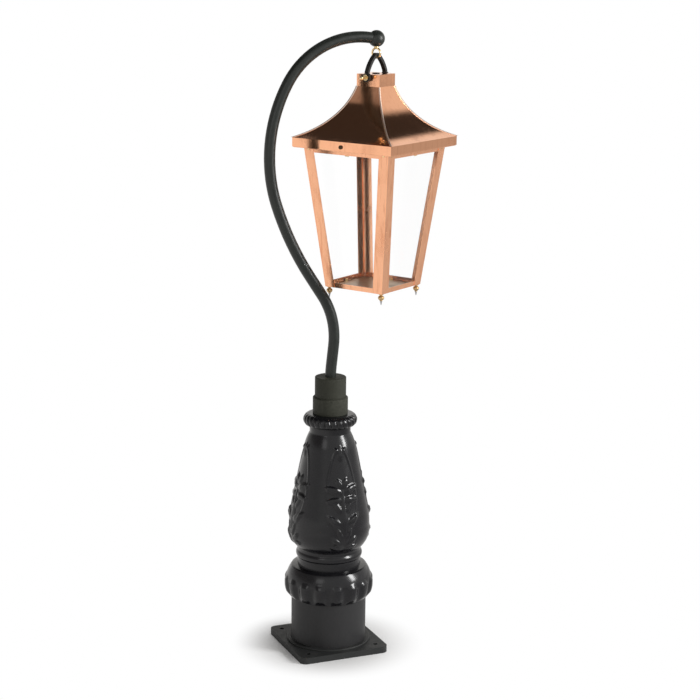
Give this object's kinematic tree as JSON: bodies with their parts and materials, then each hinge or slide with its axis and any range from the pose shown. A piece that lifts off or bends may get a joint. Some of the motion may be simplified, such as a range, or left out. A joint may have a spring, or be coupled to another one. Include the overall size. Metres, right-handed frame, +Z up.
{
  "type": "swan neck lamp post",
  "caption": "Garden lamp post: a cast vase pedestal on a square ground plate, a bent swan neck tube and a square copper lantern hung from a bow, with a hinged glass cage.",
  "frame": {"origin": "centre of the ground plate's underside, on the pedestal's axis", "axes": "+Z up along the pedestal, +X along a side of the ground plate and the way the arm reaches"},
  "size_m": [0.6028, 0.4972, 1.9107],
  "materials": {
    "ground_plate": "matte black paint",
    "drum_black": "matte dark grey-black paint",
    "casting_black": "gloss black enamel",
    "collar_olive": "matte dark olive-grey paint",
    "arm_black": "satin black paint",
    "bow_black": "satin black paint",
    "eye_brass": "polished brass",
    "copper_sheet": "polished copper",
    "copper_frame": "polished copper",
    "fitting_brass": "polished brass",
    "finial_brass": "polished brass",
    "steel_fixing": "zinc-plated steel",
    "clear_glass": "clear float glass",
    "black_rubber": "moulded rubber",
    "holder_cream": "glazed, cream"
  },
  "bodies": {
    "post": {"base_plate": "ground_plate", "base_drum": "drum_black", "post_casting": "casting_black", "post_bolts": "steel_fixing", "post_nuts": "steel_fixing", "arm_socket": "collar_olive", "arm_screws": "steel_fixing", "neck_screws": "steel_fixing", "swan_neck": "arm_black", "arm_end_ball": "arm_black"},
    "eye": {"eye_bolt": "eye_brass", "eye_washer": "steel_fixing", "eye_nut": "steel_fixing"},
    "bow": {"bow": "bow_black"},
    "roof": {"bow_pins": "fitting_brass", "bow_nuts": "fitting_brass", "bow_spacers": "fitting_brass", "roof_neck": "copper_sheet", "roof_skin": "copper_sheet", "hip_seams": "copper_frame", "fascia": "copper_sheet", "cable_grommet": "black_rubber", "lamp_bracket": "fitting_brass", "lampholder": "holder_cream", "holder_nipple": "fitting_brass", "holder_nut": "fitting_brass", "roof_hinge_leaf": "fitting_brass", "hinge_pin": "fitting_brass"},
    "catch": {"catch_screw": "fitting_brass"},
    "cage": {"cage_hinge_leaf": "fitting_brass", "top_frame": "copper_frame", "bottom_frame": "copper_frame", "floor_plate": "copper_sheet", "lower_clips": "fitting_brass", "upper_clips": "fitting_brass", "post_screws": "fitting_brass", "finials": "finial_brass", "post_back": "copper_frame", "post_left": "copper_frame", "post_front": "copper_frame", "post_right": "copper_frame", "glass_right_back": "clear_glass", "glass_left_back": "clear_glass", "glass_left_front": "clear_glass", "glass_right_front": "clear_glass"}
  },
  "joints": [
    {"name": "eye_swivel", "type": "hinge", "parent": "post", "child": "eye", "pos_m": [0.13699, 0, 1.862], "axis": [0, 0, 1], "range_deg": [-60, 60]},
    {"name": "bow_swing", "type": "hinge", "parent": "eye", "child": "bow", "pos_m": [0.13699, 0, 1.82938], "axis": [0.5299, -0.848, 0], "range_deg": [-1, 15]},
    {"name": "lantern_tilt", "type": "hinge", "parent": "bow", "child": "roof", "pos_m": [0.13699, 0, 1.77381], "axis": [0.848, 0.5299, 0], "range_deg": [-12, 4]},
    {"name": "cage_hinge", "type": "hinge", "parent": "roof", "child": "cage", "pos_m": [0.29074, 0.09607, 1.56521], "axis": [0.5299, -0.848, 0], "range_deg": [0, 60]},
    {"name": "catch_screw", "type": "slide", "parent": "roof", "child": "catch", "axis": [-0.848, -0.5299, 0], "range_m": [0, 0.008]}
  ]
}
